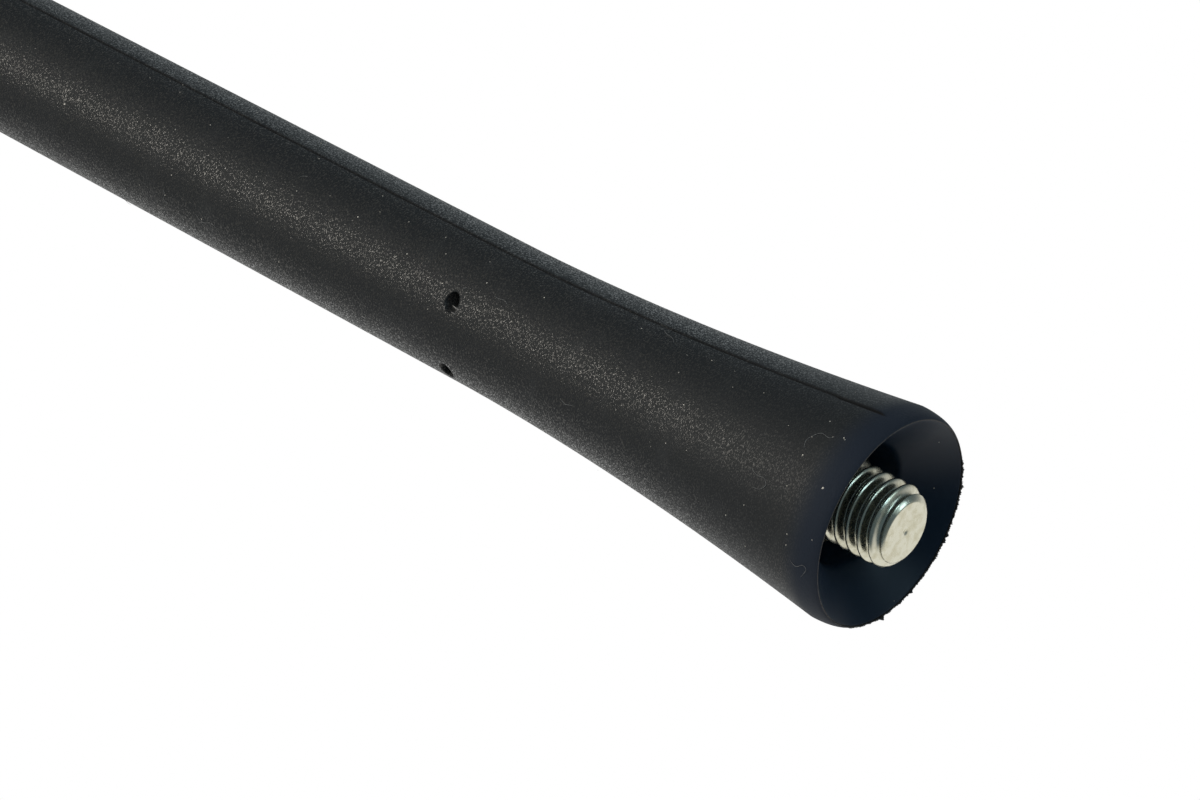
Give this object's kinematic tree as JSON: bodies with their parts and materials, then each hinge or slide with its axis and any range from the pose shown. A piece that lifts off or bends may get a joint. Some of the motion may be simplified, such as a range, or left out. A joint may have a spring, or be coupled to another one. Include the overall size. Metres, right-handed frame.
{
  "type": "car mast aerial",
  "caption": "Short car roof mast aerial: black moulded elastomer rod with a flared skirt, and a plated threaded stud set inside the skirt's conical mouth.",
  "frame": {"origin": "centre of the skirt's mouth, on the stud's axis, in the plane that seats on the roof base", "axes": "+Z along the mast from the mouth to the rounded tip, so the stud points along -Z; the mould's parting line lies in the plane y = 0"},
  "size_m": [0.016, 0.016, 0.2064],
  "materials": {
    "jacket_elastomer": "fine spark-eroded grain, matt",
    "terminal_plating": "bright plated, slightly warm",
    "rod_glass_fibre": "pulled glass fibre in resin",
    "winding_copper": "enamelled copper wire",
    "solder": "satin",
    "ferrule_brass": "turned",
    "sleeve_film": "shrunk film"
  },
  "bodies": {
    "root": {"jacket": "jacket_elastomer", "terminal": "terminal_plating", "core_rod": "rod_glass_fibre", "winding": "winding_copper", "foot_solder": "solder", "head_solder": "solder", "end_ferrule": "ferrule_brass", "shrink_sleeve": "sleeve_film"}
  },
  "joints": []
}
